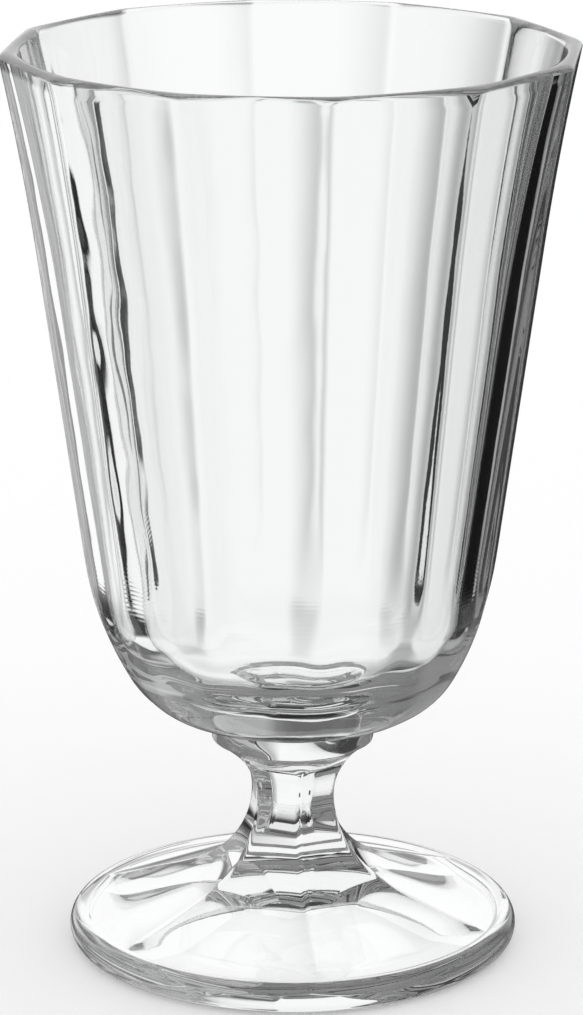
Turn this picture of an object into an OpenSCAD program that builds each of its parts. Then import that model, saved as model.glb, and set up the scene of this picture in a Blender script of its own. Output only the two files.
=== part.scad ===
// Parfait glass: a flaring, panelled bowl on a collar, a waisted six-sided stem and a round foot.
// Millimetres. The glass stands on the plane z = 0, on the z axis. Four pieces meet face to face.
// Ridges of the bowl lie on the x and y axes, and every second one is in line with a stem ridge,
// starting from the y axis.

/* [Foot] */
// Diameter of the foot
foot_width = 68.7; // [62:0.1:76]
// Radius of the rounded edge of the foot
foot_edge_radius = 2.4; // [2:0.1:2.8]
// How far the foot's plate rises from its edge to its middle
plate_rise = 0.6; // [0.2:0.1:1]
// Slope of the six facets above the plate, in degrees
facet_slope = 21.4; // [19:0.1:23]
// Height at which the foot meets the stem
foot_height = 15; // [14:0.1:17]
// Diameter of the hollow under the foot
hollow_width = 48; // [44:0.5:54]
// Depth of the hollow under the foot
hollow_depth = 6.2; // [5:0.1:7]

/* [Stem] */
// Length of the stem between foot and collar
stem_height = 13.4; // [12:0.1:15]
// Distance of the waist below the top of the stem
waist_depth = 5.1; // [4:0.1:6]
// Width of the waist across its flats
waist_width = 11.9; // [10:0.1:14]
// Radius of the curve from the waist up to the collar
upper_curve_radius = 10; // [8.5:0.1:12]
// Radius of the curve from the waist down onto the foot
lower_curve_radius = 15; // [13:0.1:17]

/* [Collar] */
// Height of the collar
collar_height = 7.8; // [6.5:0.1:9]
// Width of the collar from ridge to ridge
collar_width = 25.4; // [24:0.1:27]

/* [Bowl] */
// Height of the bowl above the collar
bowl_height = 102.3; // [85:0.1:120]
// Width of the rim from ridge to ridge
rim_width = 86.5; // [80:0.1:93]
// Lean of the straight part of the wall, in degrees
wall_lean = 7.6; // [6.5:0.1:8.5]
// Lean of the outside at the rim, in degrees
rim_lean = 11.5; // [10:0.1:14]
// Height of the flaring part under the rim
flare_height = 30; // [20:0.5:38]
// Radius of the upper curve of the bowl's underside
shoulder_radius = 48; // [42:0.5:56]
// Radius of the lower curve of the bowl's underside
base_radius = 13; // [10:0.1:16]
// Width of the flat base across its flats
base_width = 26.8; // [26.2:0.1:29]
// Radius of the rounded lip
lip_radius = 0.8; // [0.5:0.05:0.9]
// Thickness of the lip in the middle of a panel
lip_wall = 1.9; // [1.85:0.05:2.6]
// Lean of the straight part of the inside, in degrees
inside_lean = 8.2; // [7.8:0.1:8.8]
// Lean of the inside at the rim, in degrees
inside_rim_lean = 14.5; // [12:0.1:15.5]
// Height of the flaring part of the inside
inside_flare_height = 39; // [32:0.5:44]
// Thickness of the solid base in its middle
base_thickness = 5.5; // [4.5:0.1:8]
// Slope of the dished floor where it turns up into the wall, in degrees
floor_slope = 15; // [10:0.5:20]
// Radius of the curve from the floor up into the wall
floor_radius = 13; // [10:0.1:16]

/* [Hidden] */
$fn = 96;
glass_colour = [0.86, 0.9, 0.9, 0.55];
// Panels of the bowl and collar, and sides of the stem
panels = 12;
sides = 6;
// Straight steps in each curve of an outline
curve_steps = 10;
lip_steps = 5;
// Half of a width across flats, as a share of half the width across ridges
panel_share = cos(180 / panels);
side_share = cos(180 / sides);
// Largest lower curve of the bowl, as a share of the room that the wall leaves for it
base_curve_share = 0.9;
// Heights of the joints
stem_top = foot_height + stem_height;
bowl_bottom = stem_top + collar_height;
waist_z = stem_top - waist_depth;

// Points of an arc about centre c, from one angle to another, without the first of them
function arc(c, r, from, to, steps) = [
    for (i = [1 : steps])
        c + r * [cos(from + (to - from) * i / steps), sin(from + (to - from) * i / steps)]
];

// Point at an angle about centre c
function polar(c, r, angle) = c + r * [cos(angle), sin(angle)];

// Curves of the stem, which the foot and the collar carry on
upper_centre = [waist_width / 2 + upper_curve_radius, waist_z];
lower_centre = [waist_width / 2 + lower_curve_radius, waist_z];
stem_top_angle = 180 - asin(waist_depth / upper_curve_radius);
stem_foot_angle = 180 + asin((waist_z - foot_height) / lower_curve_radius);
stem_top_point = polar(upper_centre, upper_curve_radius, stem_top_angle);
stem_foot_point = polar(lower_centre, lower_curve_radius, stem_foot_angle);

// Solid with equal flat sides, turned in as many steps: its outline is given at the middle of a side
module sided(count, right) {
    share = cos(180 / count);
    rotate([0, 0, 90])
        rotate_extrude($fn = count)
            polygon(concat(
                [[0, right[0][1]]],
                [for (p = right) [p[0] / share, p[1]]],
                [[0, right[len(right) - 1][1]]]
            ));
}

// Foot: a round plate with a rounded edge, six facets that rise to the stem, and a hollow underneath
plate_radius = foot_width / 2 - foot_edge_radius;
facet_angle = 270 - facet_slope;
facet_top = polar(lower_centre, lower_curve_radius, facet_angle);
facet_reach = facet_top[0] + facet_top[1] / tan(facet_slope);
hollow_radius = (pow(hollow_width / 2, 2) + pow(hollow_depth, 2)) / (2 * hollow_depth);

module foot_plate() {
    rotate_extrude()
        union() {
            polygon([
                [0, 0],
                [plate_radius, 0],
                [plate_radius, 2 * foot_edge_radius],
                [0, 2 * foot_edge_radius + plate_rise]
            ]);
            translate([plate_radius, foot_edge_radius])
                intersection() {
                    circle(r = foot_edge_radius);
                    translate([0, -foot_edge_radius]) square([foot_edge_radius, 2 * foot_edge_radius]);
                }
        }
}

module foot_facets() {
    intersection() {
        sided(sides, concat(
            [[facet_reach, 0], facet_top],
            arc(lower_centre, lower_curve_radius, facet_angle, stem_foot_angle, curve_steps)
        ));
        cylinder(r = plate_radius, h = foot_height);
    }
}

module foot() {
    color(glass_colour)
        difference() {
            union() {
                foot_plate();
                foot_facets();
            }
            translate([0, 0, hollow_depth - hollow_radius]) sphere(r = hollow_radius);
        }
}

// Stem: six sides, narrowest at the waist
module stem() {
    color(glass_colour)
        sided(sides, concat(
            [stem_foot_point],
            arc(lower_centre, lower_curve_radius, stem_foot_angle, 180, curve_steps),
            arc(upper_centre, upper_curve_radius, 180, stem_top_angle, curve_steps)
        ));
}

// Collar: its ridges start on the stem's ridges, and its underside carries on the stem's curve
collar_flat = collar_width / 2 * panel_share;
collar_start = stem_top_point[0] / side_share * panel_share;
collar_centre = [collar_start - stem_top_point[0] + upper_centre[0], waist_z];
collar_angle = 180 - acos((collar_centre[0] - collar_flat) / upper_curve_radius);

module collar() {
    color(glass_colour)
        sided(panels, concat(
            [[collar_start, stem_top]],
            arc(collar_centre, upper_curve_radius, stem_top_angle, collar_angle, curve_steps),
            [[collar_flat, bowl_bottom]]
        ));
}

// Bowl, outside: lip, flare, wall, shoulder curve, base curve and flat base, each tangent to the next
rim_flat = rim_width / 2 * panel_share;
lip_centre = [rim_flat - lip_radius, bowl_height - lip_radius];
flare_radius = flare_height / (sin(rim_lean) - sin(wall_lean));
flare_centre = polar(lip_centre, flare_radius + lip_radius, -rim_lean);
wall_top = polar(flare_centre, flare_radius, 180 - wall_lean);
wall_normal = [cos(wall_lean), -sin(wall_lean)];
wall_rise = [sin(wall_lean), cos(wall_lean)];
// The lower curve is limited by the wall that it turns into
base_room = (wall_top - [base_width / 2, 0]) * wall_normal / (1 - sin(wall_lean));
base_curve = min(base_radius, base_curve_share * base_room);
base_centre = [base_width / 2, base_curve];
shoulder_offset = wall_top - shoulder_radius * wall_normal - base_centre;
shoulder_gap = shoulder_radius - base_curve;
offset_along = shoulder_offset * wall_rise;
offset_squared = shoulder_offset * shoulder_offset;
shoulder_shift = sqrt(pow(offset_along, 2) - offset_squared + pow(shoulder_gap, 2)) - offset_along;
wall_bottom = wall_top + shoulder_shift * wall_rise;
shoulder_centre = wall_bottom - shoulder_radius * wall_normal;
centre_line = base_centre - shoulder_centre;
knee_angle = atan2(centre_line[1], centre_line[0]);

bowl_outline = concat(
    [[base_width / 2, 0]],
    arc(base_centre, base_curve, -90, knee_angle, curve_steps),
    arc(shoulder_centre, shoulder_radius, knee_angle, -wall_lean, curve_steps),
    [wall_top],
    arc(flare_centre, flare_radius, 180 - wall_lean, 180 - rim_lean, curve_steps),
    arc(lip_centre, lip_radius, -rim_lean, 90, lip_steps)
);

// Bowl, inside: round, with its own flare and lean, a wall that grows thicker downwards and a dished floor
inner_lip_centre = [rim_flat - lip_wall + lip_radius, bowl_height - lip_radius];
inner_flare_radius = inside_flare_height / (sin(inside_rim_lean) - sin(inside_lean));
inner_flare_centre = polar(inner_lip_centre, inner_flare_radius - lip_radius, -inside_rim_lean);
inner_wall_top = polar(inner_flare_centre, inner_flare_radius, 180 - inside_lean);
wall_at_floor = inner_wall_top[0] - (inner_wall_top[1] - base_thickness) * tan(inside_lean);
corner_inset = floor_radius * (1 / cos(inside_lean) - tan(inside_lean));
dish_share = tan(floor_slope / 2);
corner_x = (wall_at_floor - corner_inset) / (1 - dish_share * tan(inside_lean));
corner_centre = [corner_x, base_thickness + floor_radius + corner_x * dish_share];
dish_radius = floor_radius + corner_x / sin(floor_slope);
dish_centre = [0, base_thickness + dish_radius];

// Last step of the lip on the inside, carried on past the top of the rim
inner_lip = arc(inner_lip_centre, lip_radius, 180 - inside_rim_lean, 90, lip_steps);
lip_overrun = 2 * inner_lip[lip_steps - 1] - inner_lip[lip_steps - 2];

inside_outline = concat(
    [[0, base_thickness]],
    arc(dish_centre, dish_radius, -90, floor_slope - 90, curve_steps),
    arc(corner_centre, floor_radius, floor_slope - 90, -inside_lean, curve_steps),
    [inner_wall_top],
    arc(inner_flare_centre, inner_flare_radius, 180 - inside_lean, 180 - inside_rim_lean, curve_steps),
    [for (i = [0 : lip_steps - 2]) inner_lip[i]],
    [lip_overrun],
    [[lip_overrun[0], bowl_height + lip_radius], [0, bowl_height + lip_radius]]
);

module bowl() {
    color(glass_colour)
        translate([0, 0, bowl_bottom])
            difference() {
                sided(panels, bowl_outline);
                rotate_extrude() polygon(inside_outline);
            }
}

foot();
stem();
collar();
bowl();
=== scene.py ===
import math
from collections import namedtuple

import bmesh
import bpy
import numpy as np
from bpy.props import FloatProperty, FloatVectorProperty, IntProperty, PointerProperty
from mathutils import Euler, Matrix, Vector


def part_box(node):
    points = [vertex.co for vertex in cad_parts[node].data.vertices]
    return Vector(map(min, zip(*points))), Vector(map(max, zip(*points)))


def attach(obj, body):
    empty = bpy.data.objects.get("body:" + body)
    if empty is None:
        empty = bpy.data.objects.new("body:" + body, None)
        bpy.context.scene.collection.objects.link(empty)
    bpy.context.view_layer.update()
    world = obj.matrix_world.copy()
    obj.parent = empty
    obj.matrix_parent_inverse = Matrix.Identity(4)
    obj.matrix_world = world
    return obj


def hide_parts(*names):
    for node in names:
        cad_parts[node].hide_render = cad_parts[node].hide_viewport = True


bl_info = {
    "name": "Parfait Glass",
    "version": (1, 0, 0),
    "blender": (4, 5, 0),
    "location": "3D View > Sidebar > Parfait Glass",
    "description": "Builds a pressed parfait glass with a panelled bowl, collar, faceted stem and round foot",
    "category": "Add Mesh",
}

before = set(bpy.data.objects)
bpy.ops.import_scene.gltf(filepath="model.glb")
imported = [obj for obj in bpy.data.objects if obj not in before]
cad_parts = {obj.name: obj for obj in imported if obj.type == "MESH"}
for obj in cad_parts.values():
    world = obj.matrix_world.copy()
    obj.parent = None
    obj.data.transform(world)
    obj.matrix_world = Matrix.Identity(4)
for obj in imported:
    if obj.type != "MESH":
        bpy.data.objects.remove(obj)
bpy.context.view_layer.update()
FOOT_LOW, FOOT_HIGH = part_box("foot")
STEM_LOW, STEM_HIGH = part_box("stem")
COLLAR_LOW, COLLAR_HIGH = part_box("collar")
BOWL_LOW, BOWL_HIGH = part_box("bowl")

# Panels of bowl and collar, and sides of stem and foot
PANELS = 12
SIDES = 6
PANEL_ANGLE = math.pi / PANELS
SIDE_ANGLE = math.pi / SIDES

# Rows of faces in each stretch of an outline
BASE_ROWS = 16
SHOULDER_ROWS = 20
WALL_ROWS = 24
FLARE_ROWS = 16
LIP_ROWS = 16
INNER_FLARE_ROWS = 32
INNER_WALL_ROWS = 36
RING_ROWS = 6
CORNER_ROWS = 20
DISH_ROWS = 14
COLLAR_ROWS = 20
COLLAR_WALL_ROWS = 4
LOWER_STEM_ROWS = 24
UPPER_STEM_ROWS = 16
FOOT_CURVE_ROWS = 18
PLATE_ROWS = 44
EDGE_ROWS = 24
HOLLOW_ROWS = 43

# Radius of the softest ridges, and the most that any ridge may have, as shares of the distance to the flat
ROUNDEST_SHARE = 0.85
RIDGE_LIMIT_SHARE = 0.9
# How much columns of faces crowd towards the ridges
CROWDING = 0.72
# Share of the collar's underside over which six sides become twelve
CHANGE_SHARE = 0.7
# Shares of the plate's width at which its rings start to grow round, and its top to settle onto the edge
ROUND_START_SHARE = 0.3
SETTLE_START_SHARE = 0.8
# Ripple: its share on the calm side, half the distance over which it calms, the radius where it is full, and
# the seed of its noise
CALM_SHARE = 0.15
CALMING_REACH = 0.015
FULL_RIPPLE_RADIUS = 0.01
RIPPLE_SEED = 3.0
# Distances under which points are one, in an outline and in a mesh, and the least divisor
SAME_POINT = 1e-8
MERGE_DISTANCE = 2e-6
LEAST_FLAT = 1e-6
# Faces with a larger share of joint than this lie in one
JOINT_LIMIT = 0.99
SHARP_CORNER = math.radians(40)


def size(name, text, value):
    return FloatProperty(name=name, description=text, default=value, unit="LENGTH", precision=5)


def angle(name, text, degrees):
    return FloatProperty(name=name, description=text, default=math.radians(degrees), subtype="ANGLE")


def colour(name, text, value):
    return FloatVectorProperty(name=name, description=text, default=value, subtype="COLOR", min=0, max=1)


class ParfaitSizes(bpy.types.PropertyGroup):
    """Sizes of the glass."""

    foot_width: size("Foot Width", "Diameter of the foot", FOOT_HIGH.x - FOOT_LOW.x)
    foot_edge: size("Foot Edge", "Radius of the rounded edge of the foot", 0.0024)
    plate_rise: size("Plate Rise", "Rise of the foot's plate from its edge to its middle", 0.0006)
    facet_slope: angle("Facet Slope", "Slope of the six facets above the plate", 21.4)
    facet_blend: size("Facet Blend", "Softness of the line where a facet meets the plate", 0.0004)
    hollow_width: size("Hollow Width", "Diameter of the hollow under the foot", 0.048)
    hollow_depth: size("Hollow Depth", "Depth of the hollow under the foot", 0.0062)
    hollow_edge: size("Hollow Edge", "Softness of the hollow's edge", 0.0025)
    waist_depth: size("Waist Depth", "Distance of the waist below the top of the stem", 0.0051)
    waist_width: size("Waist Width", "Width of the waist across its flats", 0.0119)
    upper_curve: size("Upper Curve", "Radius of the curve from the waist up to the collar", 0.010)
    lower_curve: size("Lower Curve", "Radius of the curve from the waist down onto the foot", 0.015)
    stem_ridge: size("Stem Ridge", "Radius of the ridges of stem and foot", 0.0012)
    collar_width: size("Collar Width", "Width of the collar across its ridges", COLLAR_HIGH.y - COLLAR_LOW.y)
    rim_width: size("Rim Width", "Width of the rim from ridge to ridge", BOWL_HIGH.y - BOWL_LOW.y)
    wall_lean: angle("Wall Lean", "Lean of the straight part of the wall", 7.6)
    rim_lean: angle("Rim Lean", "Lean of the outside at the rim", 11.5)
    flare_height: size("Flare Height", "Height of the flaring part under the rim", 0.030)
    shoulder: size("Shoulder", "Radius of the upper curve of the bowl's underside", 0.048)
    base_curve: size("Base Curve", "Radius of the lower curve of the bowl's underside", 0.013)
    base_width: size("Base Width", "Width of the bowl's flat base across its flats", 0.0268)
    lip_height: size("Lip Height", "Height of the rounded lip", 0.0009)
    lip_wall: size("Lip Wall", "Thickness of the lip in the middle of a panel", 0.0019)
    inside_lean: angle("Inside Lean", "Lean of the straight part of the inside", 8.2)
    inside_rim_lean: angle("Inside Rim Lean", "Lean of the inside at the rim", 14.5)
    inside_flare: size("Inside Flare", "Height of the flaring part of the inside", 0.039)
    base_thickness: size("Base Thickness", "Thickness of the solid base in its middle", 0.0055)
    floor_curve: size("Floor Curve", "Radius of the curve from the floor up into the wall", 0.013)
    floor_slope: angle("Floor Slope", "Slope of the dished floor where it turns up into the wall", 15.0)
    bowl_ridge: size("Bowl Ridge", "Radius of the ridges between the bowl's panels", 0.004)
    ridge_fade: size("Ridge Fade", "Height over which the ridges grow softer towards the base", 0.028)
    ripple: size("Ripple", "Height of the ripple left on the inside by pressing", 0.0002)
    ripple_span: size("Ripple Span", "Distance between the ripples", 0.007)
    ripple_stretch: FloatProperty(
        name="Ripple Stretch",
        description="Length of a ripple up the wall, in units of its width",
        default=2.0,
        min=0.1,
    )
    ring_height: size("Ring Height", "Height of the fine press rings low on the inside", 0.000002)
    ring_pitch: size("Ring Pitch", "Distance between the fine rings", 0.0007)
    ring_band: size("Ring Band", "Height of the band of fine rings", 0.011)
    columns: IntProperty(name="Columns", description="Faces across one panel", default=18, min=6)


class ParfaitFinish(bpy.types.PropertyGroup):
    """Finish of the glass and of the floor."""

    glass: colour("Glass", "Tint of the glass", (0.985, 0.99, 0.99))
    cord: colour("Cord", "Tint of the cords in the glass", (0.98, 0.99, 0.985))
    floor: colour("Floor", "Colour of the floor", (1.0, 1.0, 1.0))
    refraction: FloatProperty(name="Refraction", description="Index of refraction of the glass", default=1.52)
    haze: FloatProperty(
        name="Haze", description="Roughness of the dullest patches", default=0.02, min=0, max=1
    )
    skin: size("Skin", "Height of the faint waves in the glass's skin", 0.000002)


# Outlines. A row is one point of an outline: the distance to the flat of a side, the height, the radius of
# the ridges, the shares of the twelve-sided and the six-sided shape, the share of ripple, and whether it is
# in a joint.
Row = namedtuple("Row", "flat height ridge twelve six ripple joint", defaults=(0, 0, 0, 0))


def row(point, ridge, **shares):
    return Row(point[0], point[1], ridge, **shares)


def polar(centre, radius, turn):
    return centre[0] + radius * math.cos(turn), centre[1] + radius * math.sin(turn)


def arc(centre, radius, start, end, steps):
    return [polar(centre, radius, start + (end - start) * i / steps) for i in range(steps + 1)]


def line(start, end, steps):
    return [tuple(a + (b - a) * i / steps for a, b in zip(start, end)) for i in range(steps + 1)]


def eased(t):
    """Smooth step from 0 to 1."""
    t = min(1.0, t)
    return t * t * (3 - 2 * t)


def joined(*parts):
    """Rows of several parts as one outline, with each shared point once."""
    rows = []
    for part in parts:
        for r in part:
            if rows and abs(rows[-1].flat - r.flat) + abs(rows[-1].height - r.height) < SAME_POINT:
                rows.pop()
            rows.append(r)
    return rows


def flare_and_wall(lip, lean, rim_lean, height):
    """Radius and centre of a flare under a lip, and the top of the straight wall below it."""
    radius = height / (math.sin(rim_lean) - math.sin(lean))
    centre = lip + Vector((math.cos(rim_lean), -math.sin(rim_lean))) * radius
    wall_top = centre + Vector((-math.cos(lean), math.sin(lean))) * radius
    return radius, centre, wall_top


def bowl_outside(s, lip):
    """Points of the bowl's outside, from the flat base up to the lip."""
    lean = s.wall_lean
    flare, flare_centre, wall_top = flare_and_wall(lip, lean, s.rim_lean, s.flare_height)
    normal = Vector((math.cos(lean), -math.sin(lean)))
    rise = Vector((math.sin(lean), math.cos(lean)))
    base = Vector((s.base_width / 2, BOWL_LOW.z + s.base_curve))
    # The shoulder touches the base curve from outside it, and its end lies on the wall
    offset = wall_top - s.shoulder * normal - base
    along = offset.dot(rise)
    gap = s.shoulder - s.base_curve
    wall_bottom = wall_top + (math.sqrt(along**2 - offset.length_squared + gap**2) - along) * rise
    shoulder = wall_bottom - s.shoulder * normal
    knee = math.atan2(base.y - shoulder.y, base.x - shoulder.x)
    return (
        arc(base, s.base_curve, -math.pi / 2, knee, BASE_ROWS)
        + arc(shoulder, s.shoulder, knee, -lean, SHOULDER_ROWS)
        + line(wall_bottom, wall_top, WALL_ROWS)
        + arc(flare_centre, flare, math.pi - lean, math.pi - s.rim_lean, FLARE_ROWS)
    )


def press_rings(s, top, band):
    """Points of the fine rings that the plunger left, down a band of the wall."""
    count = round(s.ring_band / s.ring_pitch)
    points = []
    for i in range(count * RING_ROWS + 1):
        t = i / (count * RING_ROWS)
        wave = math.sin(2 * math.pi * count * t) * math.sin(math.pi * t)
        point = top + band * t
        points.append((point.x + s.ring_height * wave, point.y))
    return points


def bowl_inside(s, lip):
    """Points of the bowl's inside, from the lip down to the middle of the dished floor."""
    lean, rim_lean = s.inside_lean, s.inside_rim_lean
    flare, flare_centre, wall_top = flare_and_wall(lip, lean, rim_lean, s.inside_flare)
    floor_z = BOWL_LOW.z + s.base_thickness
    slant, dish = math.tan(lean), math.tan(s.floor_slope / 2)
    wall_at_floor = wall_top.x - (wall_top.y - floor_z) * slant
    inset = s.floor_curve * (1 / math.cos(lean) - slant)
    corner_x = (wall_at_floor - inset) / (1 - dish * slant)
    corner = (corner_x, floor_z + s.floor_curve + corner_x * dish)
    dish_radius = s.floor_curve + corner_x / math.sin(s.floor_slope)
    floor_end = s.floor_slope - math.pi / 2
    wall_bottom = Vector(polar(corner, s.floor_curve, -lean))
    band = (wall_bottom - wall_top).normalized() * s.ring_band
    ring_top = wall_bottom - band
    return (
        arc(flare_centre, flare, math.pi - rim_lean, math.pi - lean, INNER_FLARE_ROWS)
        + line(wall_top, ring_top, INNER_WALL_ROWS)
        + press_rings(s, ring_top, band)
        + arc(corner, s.floor_curve, -lean, floor_end, CORNER_ROWS)
        + arc((0, floor_z + dish_radius), dish_radius, floor_end, -math.pi / 2, DISH_ROWS)
    )


def lip_rows(s, outer, inner):
    """Rows over the lip, from the panelled outside to the round inside."""
    rows = []
    for i in range(1, LIP_ROWS):
        turn = math.pi * i / LIP_ROWS
        share = (1 + math.cos(turn)) / 2
        x = inner.x + (outer.x - inner.x) * share
        point = (x, outer.y + s.lip_height * math.sin(turn))
        rows.append(row(point, s.bowl_ridge, twelve=outer.x * share / x))
    return rows


def bowl_outline(s):
    """Rows of the bowl, from the collar's joint up the outside, over the lip and down the inside."""
    rim_flat = s.rim_width / 2 * math.cos(PANEL_ANGLE)
    lip_z = BOWL_HIGH.z - s.lip_height
    outer_lip = Vector((rim_flat, lip_z))
    inner_lip = Vector((rim_flat - s.lip_wall, lip_z))

    def outer_ridge(point):
        """Radius of the ridges at a point of the outside: nearly round at the base."""
        share = eased((point[1] - BOWL_LOW.z) / s.ridge_fade)
        return s.bowl_ridge * share + ROUNDEST_SHARE * point[0] * (1 - share)

    collar_flat = s.collar_width / 2 * math.cos(PANEL_ANGLE)
    seat = ((0, BOWL_LOW.z), (collar_flat, BOWL_LOW.z))
    return joined(
        [row(p, ROUNDEST_SHARE * collar_flat, twelve=1, joint=1) for p in seat],
        [row(p, outer_ridge(p), twelve=1) for p in bowl_outside(s, outer_lip)],
        lip_rows(s, outer_lip, inner_lip),
        [row(p, s.bowl_ridge, ripple=1) for p in bowl_inside(s, inner_lip)],
    )


# Centres of the curves above and below the waist, and their angles at the top and the bottom of the stem
StemCurves = namedtuple("StemCurves", "upper lower top bottom")


def stem_curves(s):
    waist_z = STEM_HIGH.z - s.waist_depth
    return StemCurves(
        upper=(s.waist_width / 2 + s.upper_curve, waist_z),
        lower=(s.waist_width / 2 + s.lower_curve, waist_z),
        top=math.pi - math.asin(s.waist_depth / s.upper_curve),
        bottom=math.pi + math.asin((waist_z - STEM_LOW.z) / s.lower_curve),
    )


def stem_outline(s):
    """Rows of the stem, from the foot's joint up to the collar's."""
    curves = stem_curves(s)
    lower = arc(curves.lower, s.lower_curve, curves.bottom, math.pi, LOWER_STEM_ROWS)
    upper = arc(curves.upper, s.upper_curve, math.pi, curves.top, UPPER_STEM_ROWS)
    curve = lower + upper[1:]
    foot_joint = ((0, STEM_LOW.z), curve[0])
    collar_joint = (curve[-1], (0, STEM_HIGH.z))
    return (
        [row(p, s.stem_ridge, six=1, joint=1) for p in foot_joint]
        + [row(p, s.stem_ridge, six=1) for p in curve[1:-1]]
        + [row(p, s.stem_ridge, six=1, joint=1) for p in collar_joint]
    )


def collar_outline(s):
    """Rows of the collar, whose underside carries on the stem's curve while six sides become twelve."""
    curves = stem_curves(s)
    low, high = COLLAR_LOW.z, COLLAR_HIGH.z
    flat = s.collar_width / 2 * math.cos(PANEL_ANGLE)
    six_start = polar(curves.upper, s.upper_curve, curves.top)[0]
    shift = six_start / math.cos(SIDE_ANGLE) * math.cos(PANEL_ANGLE) - six_start
    end = math.pi - math.acos((curves.upper[0] + shift - flat) / s.upper_curve)
    under = []
    for i, (six_x, z) in enumerate(arc(curves.upper, s.upper_curve, curves.top, end, COLLAR_ROWS)):
        t = i / COLLAR_ROWS
        change = eased(t / CHANGE_SHARE)
        twelve_x = six_x + shift
        x = six_x * (1 - change) + twelve_x * change
        ridge = s.stem_ridge * (1 - t) + ROUNDEST_SHARE * x * t
        under.append(row((x, z), ridge, twelve=change * twelve_x / x, six=(1 - change) * six_x / x))
    wall = line((flat, under[-1].height), (flat, high), COLLAR_WALL_ROWS)
    wall_ridge = ROUNDEST_SHARE * flat
    return (
        [row(p, s.stem_ridge, six=1, joint=1) for p in ((0, low), (six_start, low))]
        + under[1:]
        + [row(p, wall_ridge, twelve=1) for p in wall[1:-1]]
        + [row(p, wall_ridge, twelve=1, joint=1) for p in ((flat, high), (0, high))]
    )


# Geometry nodes: an outline is turned into a piece with flat sides and rounded ridges


def add(tree, kind, inputs=None, **settings):
    """New node with its settings, and its inputs given by name or number as values or sockets."""
    node = tree.nodes.new(kind)
    for key, value in settings.items():
        setattr(node, key, value)
    for key, value in (inputs or {}).items():
        if isinstance(value, bpy.types.NodeSocket):
            tree.links.new(value, node.inputs[key])
        else:
            node.inputs[key].default_value = value
    return node


def calc(tree, operation, *values):
    return add(tree, "ShaderNodeMath", dict(enumerate(values)), operation=operation).outputs[0]


def rounded_side(tree, turn, count, ridge_share):
    """Distance of a rounded many-sided outline from its middle, in units of the flat's distance."""
    half = math.pi / count
    wrapped = calc(tree, "FLOORED_MODULO", turn, 2 * half)
    from_middle = calc(tree, "ABSOLUTE", calc(tree, "SUBTRACT", wrapped, half))
    flat = calc(tree, "DIVIDE", 1.0, calc(tree, "COSINE", from_middle))
    core = calc(tree, "SUBTRACT", 1.0, ridge_share)
    reach = calc(tree, "DIVIDE", core, math.cos(half))
    from_ridge = calc(tree, "SUBTRACT", half, from_middle)
    across = calc(tree, "MULTIPLY", reach, calc(tree, "SINE", from_ridge))
    square = calc(tree, "SUBTRACT", calc(tree, "POWER", ridge_share, 2.0), calc(tree, "POWER", across, 2.0))
    arch = calc(tree, "SQRT", calc(tree, "MAXIMUM", square, 0.0))
    ridge = calc(tree, "ADD", calc(tree, "MULTIPLY", reach, calc(tree, "COSINE", from_ridge)), arch)
    limit = calc(tree, "MULTIPLY", core, math.tan(half))
    on_ridge = calc(tree, "GREATER_THAN", calc(tree, "TANGENT", from_middle), limit)
    inputs = {"Switch": on_ridge, "False": flat, "True": ridge}
    return add(tree, "GeometryNodeSwitch", inputs, input_type="FLOAT").outputs[0]


def crowded_turn(tree, column, columns):
    """Angle of a column of points, with the columns crowded towards the ridges."""
    panel = calc(tree, "DIVIDE", column, columns)
    number = calc(tree, "FLOOR", panel)
    side = calc(tree, "SUBTRACT", calc(tree, "MULTIPLY", calc(tree, "SUBTRACT", panel, number), 2.0), 1.0)
    wave = calc(tree, "SINE", calc(tree, "MULTIPLY", side, math.pi))
    crowded = calc(tree, "ADD", side, calc(tree, "MULTIPLY", wave, CROWDING / math.pi))
    within = calc(tree, "MULTIPLY", calc(tree, "ADD", crowded, 1.0), 0.5)
    return calc(tree, "MULTIPLY", calc(tree, "ADD", number, within), 2 * PANEL_ANGLE)


def place(tree, distance, ahead, level):
    """Position at a distance from the axis, in a direction and at a level."""
    x = calc(tree, "MULTIPLY", distance, calc(tree, "COSINE", ahead))
    y = calc(tree, "MULTIPLY", distance, calc(tree, "SINE", ahead))
    return add(tree, "ShaderNodeCombineXYZ", {0: x, 1: y, 2: level}).outputs[0]


def ripple_wave(tree, given, reach, ahead, height, flat):
    """Height of the ripple, which is strongest on one side and dies away towards the axis."""
    stretched = place(tree, reach, ahead, calc(tree, "DIVIDE", height, given["Ripple Stretch"]))
    scale = calc(tree, "DIVIDE", 1.0, given["Ripple Span"])
    inputs = {"Vector": stretched, "W": given["Seed"], "Scale": scale, "Detail": 1.0}
    noise = add(tree, "ShaderNodeTexNoise", inputs, noise_dimensions="4D").outputs[0]
    swing = calc(tree, "MULTIPLY", given["Ripple"], 2.0)
    wave = calc(tree, "MULTIPLY", calc(tree, "SUBTRACT", noise, 0.5), swing)
    inputs = {
        "Value": calc(tree, "MULTIPLY", reach, calc(tree, "COSINE", ahead)),
        "From Min": -CALMING_REACH,
        "From Max": CALMING_REACH,
        "To Min": 1.0,
        "To Max": CALM_SHARE,
    }
    one_side = add(tree, "ShaderNodeMapRange", inputs).outputs[0]
    fade = calc(tree, "MINIMUM", calc(tree, "DIVIDE", flat, FULL_RIPPLE_RADIUS), one_side)
    return calc(tree, "MULTIPLY", wave, fade)


TURNING_INPUTS = {
    "Outline": "Geometry",
    "Columns": "Int",
    "Ripple": "Float",
    "Ripple Span": "Float",
    "Ripple Stretch": "Float",
    "Seed": "Float",
    "Glass": "Material",
    "Joint": "Material",
}


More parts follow.
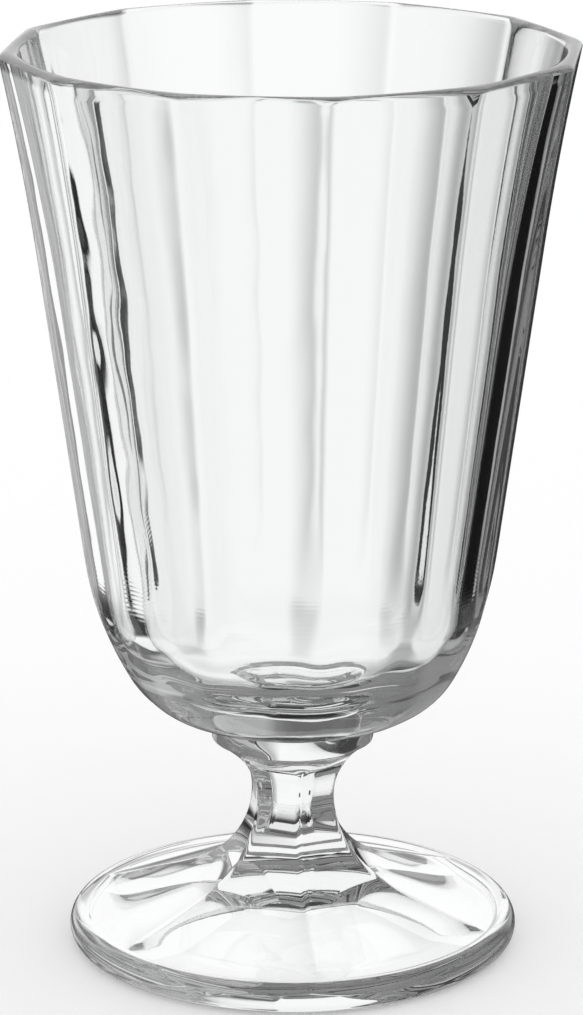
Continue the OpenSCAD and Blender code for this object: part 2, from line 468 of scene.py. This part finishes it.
def turning_tree():
    """Tree that turns an outline with its shares of sides into a closed piece."""
    tree = bpy.data.node_groups.new("Panelled Turning", "GeometryNodeTree")
    for name, kind in TURNING_INPUTS.items():
        tree.interface.new_socket(name, in_out="INPUT", socket_type="NodeSocket" + kind)
    tree.interface.new_socket("Piece", in_out="OUTPUT", socket_type="NodeSocketGeometry")
    given = tree.nodes.new("NodeGroupInput").outputs
    outline = given["Outline"]

    # A grid has a line of points for each row of the outline, and its first and last columns meet
    count = add(tree, "GeometryNodeAttributeDomainSize", {"Geometry": outline}).outputs["Point Count"]
    around = calc(tree, "ADD", calc(tree, "MULTIPLY", given["Columns"], PANELS), 1)
    grid = add(tree, "GeometryNodeMeshGrid", {"Vertices X": count, "Vertices Y": around}).outputs["Mesh"]
    index = add(tree, "GeometryNodeInputIndex").outputs[0]
    along = calc(tree, "FLOOR", calc(tree, "DIVIDE", calc(tree, "ADD", index, 0.5), around))
    column = calc(tree, "SUBTRACT", index, calc(tree, "MULTIPLY", along, around))

    def sampled(name):
        value = add(tree, "GeometryNodeInputNamedAttribute", {"Name": name}, data_type="FLOAT").outputs[0]
        inputs = {"Geometry": outline, "Value": value, "Index": along}
        return add(tree, "GeometryNodeSampleIndex", inputs, data_type="FLOAT").outputs[0]

    here = Row(*[sampled(name) for name in Row._fields])
    turn = crowded_turn(tree, column, given["Columns"])
    ridge_share = calc(tree, "DIVIDE", here.ridge, calc(tree, "MAXIMUM", here.flat, LEAST_FLAT))
    ridge_share = calc(tree, "MINIMUM", ridge_share, RIDGE_LIMIT_SHARE)
    swell = []
    for amount, sides in ((here.twelve, PANELS), (here.six, SIDES)):
        out = calc(tree, "SUBTRACT", rounded_side(tree, turn, sides, ridge_share), 1.0)
        swell.append(calc(tree, "MULTIPLY", amount, out))
    reach = calc(tree, "MULTIPLY", here.flat, calc(tree, "ADD", 1.0, calc(tree, "ADD", *swell)))
    ahead = calc(tree, "SUBTRACT", turn, math.pi / 2)
    wave = ripple_wave(tree, given, reach, ahead, here.height, here.flat)
    rippled = calc(tree, "ADD", reach, calc(tree, "MULTIPLY", wave, here.ripple))
    moved = place(tree, rippled, ahead, here.height)

    keep = add(tree, "GeometryNodeCaptureAttribute", {"Geometry": grid})
    keep.capture_items.new("FLOAT", "Joint")
    tree.links.new(here.joint, keep.inputs["Joint"])
    inputs = {"Geometry": keep.outputs["Geometry"], "Position": moved}
    placed = add(tree, "GeometryNodeSetPosition", inputs).outputs[0]
    smooth = add(tree, "GeometryNodeSetShadeSmooth", {"Geometry": placed}).outputs[0]
    inputs = {"Geometry": smooth, "Distance": MERGE_DISTANCE}
    closed = add(tree, "GeometryNodeMergeByDistance", inputs).outputs[0]
    real = add(tree, "GeometryNodeRealizeInstances", {"Geometry": closed}).outputs[0]
    inputs = {"Geometry": real, "Material": given["Glass"]}
    glass = add(tree, "GeometryNodeSetMaterial", inputs).outputs[0]
    in_joint = calc(tree, "GREATER_THAN", keep.outputs["Joint"], JOINT_LIMIT)
    inputs = {"Geometry": glass, "Selection": in_joint, "Material": given["Joint"]}
    both = add(tree, "GeometryNodeSetMaterial", inputs).outputs[0]
    tree.links.new(both, tree.nodes.new("NodeGroupOutput").inputs["Piece"])
    return tree


def outward(mesh):
    """Faces of a closed mesh turned outwards, and its sharp corners marked."""
    work = bmesh.new()
    work.from_mesh(mesh)
    bmesh.ops.recalc_face_normals(work, faces=work.faces)
    if work.calc_volume(signed=True) < 0:
        bmesh.ops.reverse_faces(work, faces=work.faces)
    loose = [e for e in work.edges if len(e.link_faces) != 2]
    if loose:
        raise RuntimeError(f"{mesh.name} isn't closed at {len(loose)} edges")
    work.to_mesh(mesh)
    work.free()
    mesh.shade_smooth()
    mesh.set_sharp_from_angle(angle=SHARP_CORNER)


def finished(mesh, node):
    """A piece with this mesh takes its CAD node's place."""
    piece = bpy.data.objects.new(mesh.name, mesh)
    bpy.context.collection.objects.link(piece)
    outward(mesh)
    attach(piece, "root")
    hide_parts(node)


def turned(name, node, rows):
    """Piece made from an outline by the turning tree."""
    sizes = bpy.context.scene.parfait_sizes
    mesh = bpy.data.meshes.new(name + "_outline")
    mesh.from_pydata([(r.flat, 0, r.height) for r in rows], [(i, i + 1) for i in range(len(rows) - 1)], [])
    for key in Row._fields:
        values = [getattr(r, key) for r in rows]
        mesh.attributes.new(key, "FLOAT", "POINT").data.foreach_set("value", values)
    maker = bpy.data.objects.new(name + "_outline", mesh)
    bpy.context.collection.objects.link(maker)
    modifier = maker.modifiers.new("Turning", "NODES")
    tree = bpy.data.node_groups.get("Panelled Turning") or turning_tree()
    modifier.node_group = tree
    given = {
        "Columns": sizes.columns,
        "Ripple": sizes.ripple,
        "Ripple Span": sizes.ripple_span,
        "Ripple Stretch": sizes.ripple_stretch,
        "Seed": RIPPLE_SEED,
        "Glass": clear_glass(),
        "Joint": fused_joint(),
    }
    for item in tree.interface.items_tree:
        if item.in_out == "INPUT" and item.name in given:
            modifier[item.identifier] = given[item.name]
    depsgraph = bpy.context.evaluated_depsgraph_get()
    made = bpy.data.meshes.new_from_object(maker.evaluated_get(depsgraph))
    bpy.data.objects.remove(maker)
    bpy.data.meshes.remove(mesh)
    made.name = name
    finished(made, node)


# Materials. Scales of patterns are in waves to the metre. The haze starts at one level of its pattern, and is
# full at another.
CORD_SCALE = 60.0
HAZE_SCALE = 150.0
SKIN_SCALE = 700.0
HAZE_START = 0.4
HAZE_FULL = 0.8


def clear_glass():
    """Clear pressed glass: faint cords in its tint, a haze that comes and goes, and a fire-polished skin."""
    found = bpy.data.materials.get("clear_glass")
    if found:
        return found
    finish = bpy.context.scene.parfait_finish
    material = bpy.data.materials.new("clear_glass")
    material.use_nodes = True
    tree = material.node_tree
    there = add(tree, "ShaderNodeTexCoord").outputs["Object"]

    def pattern(scale, detail):
        return add(tree, "ShaderNodeTexNoise", {"Vector": there, "Scale": scale, "Detail": detail}).outputs[0]

    inputs = {0: pattern(CORD_SCALE, 2.0), 6: (*finish.glass, 1), 7: (*finish.cord, 1)}
    tint = add(tree, "ShaderNodeMix", inputs, data_type="RGBA").outputs[2]
    patches = pattern(HAZE_SCALE, 3.0)
    inputs = {"Value": patches, "From Min": HAZE_START, "From Max": HAZE_FULL, "To Max": finish.haze}
    haze = add(tree, "ShaderNodeMapRange", inputs).outputs[0]
    inputs = {"Height": pattern(SKIN_SCALE, 2.0), "Strength": 1.0, "Distance": finish.skin}
    skin = add(tree, "ShaderNodeBump", inputs).outputs[0]
    shader = tree.nodes["Principled BSDF"]
    shader.inputs["IOR"].default_value = finish.refraction
    shader.inputs["Transmission Weight"].default_value = 1.0
    tree.links.new(tint, shader.inputs["Base Color"])
    tree.links.new(haze, shader.inputs["Roughness"])
    tree.links.new(skin, shader.inputs["Normal"])
    return material


def fused_joint():
    """Glass that runs on from one piece into the next, where nothing shows."""
    found = bpy.data.materials.get("fused_joint")
    if found:
        return found
    material = bpy.data.materials.new("fused_joint")
    material.use_nodes = True
    tree = material.node_tree
    tree.nodes.clear()
    clear = tree.nodes.new("ShaderNodeBsdfTransparent")
    out = tree.nodes.new("ShaderNodeOutputMaterial")
    tree.links.new(clear.outputs[0], out.inputs["Surface"])
    return material


def pale_floor():
    """Dull white floor."""
    material = bpy.data.materials.new("pale_floor")
    material.use_nodes = True
    shader = material.node_tree.nodes["Principled BSDF"]
    shader.inputs["Base Color"].default_value = (*bpy.context.scene.parfait_finish.floor, 1)
    shader.inputs["Roughness"].default_value = 1.0
    shader.inputs["Specular IOR Level"].default_value = 0.0
    return material


# Foot: its facets run out into a round plate, so its rings are worked out one by one


def smooth_max(a, b, blend):
    """The higher of two heights, with a soft line between them."""
    return (a + b + np.sqrt((a - b) ** 2 + blend**2)) / 2


def side_reach(turn, count, ridge_share):
    """Same outline as rounded_side, for arrays."""
    half = math.pi / count
    from_middle = np.abs(np.mod(turn, 2 * half) - half)
    core = 1 - ridge_share
    reach = core / math.cos(half)
    from_ridge = half - from_middle
    arch = np.sqrt(np.maximum(ridge_share**2 - (reach * np.sin(from_ridge)) ** 2, 0))
    on_ridge = np.tan(from_middle) > core * math.tan(half)
    return np.where(on_ridge, reach * np.cos(from_ridge) + arch, 1 / np.cos(from_middle))


def foot_turns(columns):
    """Angles of the columns of points, crowded towards the ridges."""
    panel = np.arange(columns * SIDES) / columns
    side = (panel - np.floor(panel)) * 2 - 1
    crowded = side + CROWDING * np.sin(math.pi * side) / math.pi
    return (np.floor(panel) + (crowded + 1) / 2) * 2 * SIDE_ANGLE


def share_past(t, start):
    """How far t is on its way from a start to 1."""
    return max(0.0, (t - start) / (1 - start))


def foot_rings(s, turn):
    """Distances and heights of the rings, from the stem's joint outwards and on under the foot."""
    curves = stem_curves(s)
    plate_radius = s.foot_width / 2 - s.foot_edge
    facet_turn = 1.5 * math.pi - s.facet_slope
    curve = arc(curves.lower, s.lower_curve, curves.bottom, facet_turn, FOOT_CURVE_ROWS)
    facet_start, facet_top = curve[-1]
    facet_reach = facet_start + facet_top / math.tan(s.facet_slope)
    rings = [(np.zeros_like(turn), np.full_like(turn, FOOT_HIGH.z))]
    for x, z in curve:
        rings.append((x * side_reach(turn, SIDES, s.stem_ridge / x), np.full_like(turn, z)))
    for i in range(1, PLATE_ROWS):
        t = i / PLATE_ROWS
        x = facet_start + (plate_radius - facet_start) * t
        out = side_reach(turn, SIDES, s.stem_ridge / x)
        roundness = share_past(t, ROUND_START_SHARE)
        reach = x * (out * (1 - roundness) + roundness)
        facet = (facet_reach - reach / out) * math.tan(s.facet_slope)
        plate = 2 * s.foot_edge + s.plate_rise * (1 - reach / plate_radius)
        settled = s.facet_blend / 2 * share_past(t, SETTLE_START_SHARE)
        rings.append((reach, smooth_max(facet, plate, s.facet_blend) - settled))
    ball = ((s.hollow_width / 2) ** 2 + s.hollow_depth**2) / (2 * s.hollow_depth)
    under = []
    for x in np.linspace(plate_radius, 0, HOLLOW_ROWS + 1)[1:]:
        hollow = s.hollow_depth - ball + math.sqrt(ball**2 - x**2)
        under.append((x, smooth_max(0.0, hollow, s.hollow_edge)))
    edge = arc((plate_radius, s.foot_edge), s.foot_edge, math.pi / 2, -math.pi / 2, EDGE_ROWS)
    return rings + [(np.full_like(turn, x), np.full_like(turn, z)) for x, z in edge + under]


def foot_mesh(s):
    """Vertices of the foot, its faces, and the numbers of those that lie in the stem's joint."""
    turn = foot_turns(s.columns * PANELS // SIDES)
    top, *rings, bottom = foot_rings(s, turn)
    ahead = turn - math.pi / 2
    points, faces, joint = [], [], []
    for reach, z in rings:
        points += zip(reach * np.cos(ahead), reach * np.sin(ahead), z)
    top_middle = len(points)
    bottom_middle = top_middle + 1
    points += [(0, 0, top[1][0]), (0, 0, bottom[1][0])]
    count = len(turn)
    last = (len(rings) - 1) * count
    for j in range(count):
        k = (j + 1) % count
        joint.append(len(faces))
        faces.append((top_middle, j, k))
        for a in range(0, last, count):
            b = a + count
            faces.append((a + j, b + j, b + k, a + k))
        faces.append((last + j, bottom_middle, last + k))
    return points, faces, joint


class PARFAIT_OT_foot(bpy.types.Operator):
    """Builds the round foot with its six facets"""

    bl_idname = "parfait.foot"
    bl_label = "Foot"

    def execute(self, context):
        points, faces, joint = foot_mesh(context.scene.parfait_sizes)
        mesh = bpy.data.meshes.new("glass_foot")
        mesh.from_pydata(points, [], faces)
        mesh.materials.append(clear_glass())
        mesh.materials.append(fused_joint())
        for i in joint:
            mesh.polygons[i].material_index = 1
        finished(mesh, "foot")
        return {"FINISHED"}


class PARFAIT_OT_stem(bpy.types.Operator):
    """Builds the waisted six-sided stem"""

    bl_idname = "parfait.stem"
    bl_label = "Stem"

    def execute(self, context):
        turned("glass_stem", "stem", stem_outline(context.scene.parfait_sizes))
        return {"FINISHED"}


class PARFAIT_OT_collar(bpy.types.Operator):
    """Builds the collar between stem and bowl"""

    bl_idname = "parfait.collar"
    bl_label = "Collar"

    def execute(self, context):
        turned("glass_collar", "collar", collar_outline(context.scene.parfait_sizes))
        return {"FINISHED"}


class PARFAIT_OT_bowl(bpy.types.Operator):
    """Builds the panelled bowl"""

    bl_idname = "parfait.bowl"
    bl_label = "Bowl"

    def execute(self, context):
        turned("glass_bowl", "bowl", bowl_outline(context.scene.parfait_sizes))
        return {"FINISHED"}


# Camera fitted to the photo: places in metres, lens and sensor in millimetres
CAMERA_TURN = math.radians(-7.92)
CAMERA_DISTANCE = 0.6241
CAMERA_HEIGHT = 0.247
CAMERA_DOWN = math.radians(15.98)
CAMERA_ASIDE = math.radians(0.0172)
CAMERA_LENS = 152.94
CAMERA_SENSOR = 36
# Bounces of light, half the width of the floor, and the share of the cards that light sees on its way to the
# floor, which keeps the shadow soft and light
LIGHT_BOUNCES = 40
FLOOR_REACH = 3
FLOOR_CARD_SHARE = 0.4

# Cards round the glass, by their edges in degrees: to the right of the line of sight, and above the horizon.
# A card's shade fades in over its softness on both sides of an edge.
Card = namedtuple("Card", "left right low high shade soft")
# What light sees that only passes through the glass: a white sweep with grey and black flags at its sides
PASSING_SHADE = 1.0
PASSING_CARDS = (
    Card(11, 29, -38, 120, 0.5, 10),
    Card(6, 32, -46, -30, 0.45, 4),
    Card(28, 34, -60, 60, 0.0, 0.8),
    Card(-45, -22, -48, -34, 0.55, 5),
    Card(-30, -19.2, -18.6, -12, 0.05, 1.0),
)
# What light sees that is reflected once in the glass: a dark room with white, grey and black cards
REFLECTED_SHADE = 0.02
REFLECTED_CARDS = (
    Card(115, 250, -60, 60, 0.7, 15),
    Card(-250, -115, -60, 60, 0.7, 15),
    Card(-84, 38, -75, -42, 0.85, 4),
    Card(-50, 60, -40, -29, 0.16, 3),
    Card(8, 60, -44, -24, 0.45, 9),
    Card(-44, 38, -5, 62, 1.0, 5),
    Card(-42, -17, -23, -15.5, 1.0, 1.5),
    Card(-90, -52, -38, -21, 1.0, 2),
    Card(33.5, 64, -27, -18, 0.0, 1.5),
    Card(23.5, 32.5, -21, -17.5, 0.42, 1.2),
    Card(46, 66, -8, 0, 0.6, 3),
    Card(66, 115, -35, -15, 0.06, 3),
)
# What light sees that is reflected twice: a dim room, dark at the lower left, with lighter cards elsewhere
DIM_SHADE = 0.25
DIM_CARDS = (
    Card(-200, 18, -31, -3, 0.05, 3),
    Card(22, 200, -31, -3, 0.5, 4),
    Card(60, 175, 30, 120, 0.7, 8),
    Card(14, 60, -14, 15, 0.75, 6),
    Card(-60, -20, 4, 48, 0.8, 4),
    Card(-45, 42, -120, -36, 0.8, 6),
)
# What light sees that is reflected more often: an even grey, lighter to the right and dark at the lower left
GREY_SHADE = 0.22
GREY_CARDS = (
    Card(20, 130, -20, 55, 0.46, 10),
    Card(-200, 18, -31, -3, 0.05, 3),
    Card(22, 200, -31, -3, 0.6, 4),
)


def mixed(tree, share, first, second):
    return add(tree, "ShaderNodeMix", {0: share, 2: first, 3: second}).outputs[0]


def between(tree, value, low, high, soft):
    """1 between two edges and 0 outside them, with a soft change at each."""
    sides = []
    for edge in (low, high):
        start, end = math.radians(edge - soft), math.radians(edge + soft)
        inputs = {"Value": value, "From Min": start, "From Max": end}
        sides.append(add(tree, "ShaderNodeMapRange", inputs, interpolation_type="SMOOTHSTEP").outputs[0])
    return calc(tree, "SUBTRACT", *sides)


def card_shade(tree, across, up, shade, cards):
    """Brightness in a direction, with each card laid over those before it."""
    value = shade
    for card in cards:
        wide = between(tree, across, card.left, card.right, card.soft)
        high = between(tree, up, card.low, card.high, card.soft)
        value = mixed(tree, calc(tree, "MULTIPLY", wide, high), value, card.shade)
    return value


def studio():
    """White surroundings, with cards that show only in the glass."""
    world = bpy.data.worlds.new("studio")
    world.use_nodes = True
    tree = world.node_tree
    there = add(tree, "ShaderNodeTexCoord").outputs["Generated"]
    inputs = {"Vector": there, "Angle": -CAMERA_TURN}
    from_sight = add(tree, "ShaderNodeVectorRotate", inputs, rotation_type="Z_AXIS").outputs[0]
    right, ahead, up = add(tree, "ShaderNodeSeparateXYZ", {0: from_sight}).outputs
    across = calc(tree, "ARCTAN2", right, ahead)
    height = calc(tree, "ARCSINE", up)
    path = add(tree, "ShaderNodeLightPath").outputs
    in_glass = card_shade(tree, across, height, PASSING_SHADE, PASSING_CARDS)
    mirrored = ((REFLECTED_SHADE, REFLECTED_CARDS), (DIM_SHADE, DIM_CARDS), (GREY_SHADE, GREY_CARDS))
    for times, (shade, cards) in enumerate(mirrored, start=1):
        as_often = calc(tree, "GREATER_THAN", path["Glossy Depth"], times - 0.5)
        in_glass = mixed(tree, as_often, in_glass, card_shade(tree, across, height, shade, cards))
    touched = calc(tree, "ADD", path["Glossy Depth"], path["Transmission Depth"])
    from_glass = calc(tree, "GREATER_THAN", touched, 0.5)
    from_floor = calc(tree, "GREATER_THAN", path["Diffuse Depth"], 0.5)
    cards_seen = calc(tree, "MULTIPLY", from_glass, mixed(tree, from_floor, 1.0, FLOOR_CARD_SHARE))
    background = tree.nodes["Background"]
    background.inputs["Color"].default_value = (1, 1, 1, 1)
    tree.links.new(mixed(tree, cards_seen, 1.0, in_glass), background.inputs["Strength"])
    return world


def photo_camera():
    """Camera at the photograph's angle, looking a little down."""
    lens = bpy.data.cameras.new("camera")
    lens.sensor_fit = "VERTICAL"
    lens.sensor_height = CAMERA_SENSOR
    lens.lens = CAMERA_LENS
    camera = bpy.data.objects.new("camera", lens)
    camera.location = (
        CAMERA_DISTANCE * math.sin(CAMERA_TURN),
        -CAMERA_DISTANCE * math.cos(CAMERA_TURN),
        CAMERA_HEIGHT,
    )
    camera.rotation_euler = Euler((math.pi / 2 - CAMERA_DOWN, 0, CAMERA_TURN + CAMERA_ASIDE))
    return camera


def wide_floor():
    """Floor that catches the shadow, and is left out of what the glass shows."""
    mesh = bpy.data.meshes.new("floor")
    corners = [(-1, -1), (1, -1), (1, 1), (-1, 1)]
    mesh.from_pydata([(x * FLOOR_REACH, y * FLOOR_REACH, 0) for x, y in corners], [], [(0, 1, 2, 3)])
    mesh.materials.append(pale_floor())
    floor = bpy.data.objects.new("floor", mesh)
    floor.visible_glossy = False
    floor.visible_transmission = False
    return floor


class PARFAIT_OT_stage(bpy.types.Operator):
    """Sets up camera, floor and light"""

    bl_idname = "parfait.stage"
    bl_label = "Stage"

    def execute(self, context):
        scene = context.scene
        scene.view_settings.view_transform = "Standard"
        scene.cycles.max_bounces = LIGHT_BOUNCES
        scene.cycles.transmission_bounces = LIGHT_BOUNCES
        scene.cycles.glossy_bounces = LIGHT_BOUNCES
        scene.cycles.transparent_max_bounces = LIGHT_BOUNCES
        scene.camera = photo_camera()
        context.collection.objects.link(scene.camera)
        scene.world = studio()
        floor = wide_floor()
        context.collection.objects.link(floor)
        return {"FINISHED"}


class PARFAIT_PT_panel(bpy.types.Panel):
    """Lists the pieces, sizes and finish of the glass"""

    bl_label = "Parfait Glass"
    bl_idname = "PARFAIT_PT_panel"
    bl_space_type = "VIEW_3D"
    bl_region_type = "UI"
    bl_category = "Parfait Glass"

    def draw(self, context):
        for operator in OPERATORS:
            self.layout.operator(operator.bl_idname)
        for group in (context.scene.parfait_sizes, context.scene.parfait_finish):
            for name in group.__annotations__:
                self.layout.prop(group, name)


OPERATORS = (PARFAIT_OT_stage, PARFAIT_OT_foot, PARFAIT_OT_stem, PARFAIT_OT_collar, PARFAIT_OT_bowl)
CLASSES = (ParfaitSizes, ParfaitFinish, *OPERATORS, PARFAIT_PT_panel)


def register():
    for cls in CLASSES:
        bpy.utils.register_class(cls)
    bpy.types.Scene.parfait_sizes = PointerProperty(type=ParfaitSizes)
    bpy.types.Scene.parfait_finish = PointerProperty(type=ParfaitFinish)


def unregister():
    del bpy.types.Scene.parfait_finish
    del bpy.types.Scene.parfait_sizes
    for cls in reversed(CLASSES):
        bpy.utils.unregister_class(cls)


def main():
    register()
    bpy.ops.parfait.stage()
    bpy.ops.parfait.foot()
    bpy.ops.parfait.stem()
    bpy.ops.parfait.collar()
    bpy.ops.parfait.bowl()


if __name__ == "__main__":
    main()
